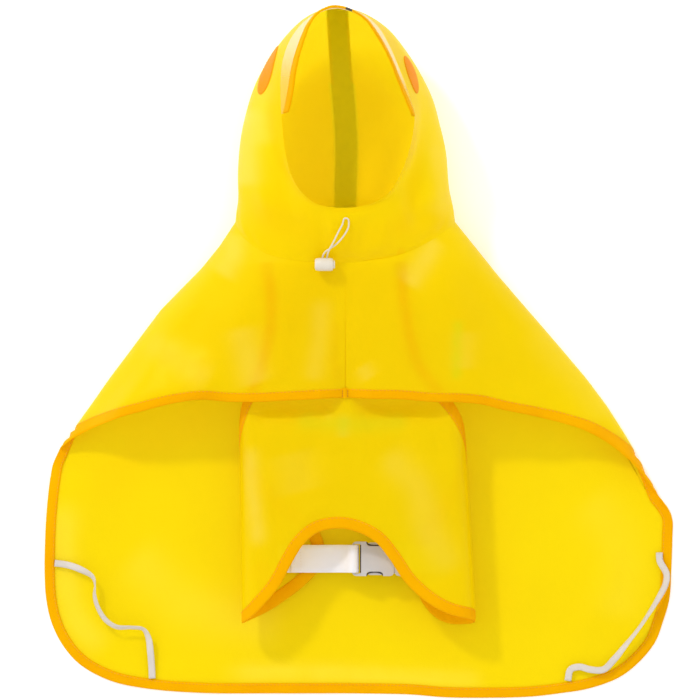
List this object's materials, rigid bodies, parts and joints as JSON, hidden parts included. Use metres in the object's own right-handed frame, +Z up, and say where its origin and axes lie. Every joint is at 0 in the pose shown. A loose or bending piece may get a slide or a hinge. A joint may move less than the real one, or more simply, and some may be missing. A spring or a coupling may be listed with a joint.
{
  "type": "dog raincoat",
  "caption": "Hooded dog raincoat laid on its back, with a cape, a brim, a belly panel that wraps round with a girth strap and buckle, leg elastics and a drawcord at the neck.",
  "frame": {"origin": "centre of the bounding box at the surface that the garment lies on", "axes": "+X to the garment's right as seen in the picture, +Y from the tail hem to the top of the hood, +Z up from the surface, out of the belly side"},
  "size_m": [0.5664, 0.6226, 0.135],
  "materials": {
    "yellow_cloth": "thin waterproof cloth that lets some light through",
    "orange_binding": "woven bias binding",
    "orange_patch": "smooth coated cloth",
    "clear_film": "soft clear film",
    "reflective_tape": "grey reflective tape",
    "white_webbing": "woven webbing, elastic and cord",
    "grey_plastic": "light grey moulded plastic",
    "ivory_plastic": "ivory moulded plastic"
  },
  "bodies": {
    "root": {"cape": "yellow_cloth", "cape_binding": "orange_binding", "hood": "yellow_cloth", "hood_tape": "reflective_tape", "patch_left": "orange_patch", "patch_right": "orange_patch", "hood_brim": "clear_film", "brim_binding": "orange_binding", "belly_panel": "yellow_cloth", "belly_binding": "orange_binding", "girth_strap_left": "white_webbing", "girth_strap_right": "white_webbing", "buckle_socket": "grey_plastic", "buckle_plug": "grey_plastic", "leg_elastic_left": "white_webbing", "leg_elastic_right": "white_webbing", "drawcord": "white_webbing", "cord_lock": "ivory_plastic"}
  },
  "joints": []
}
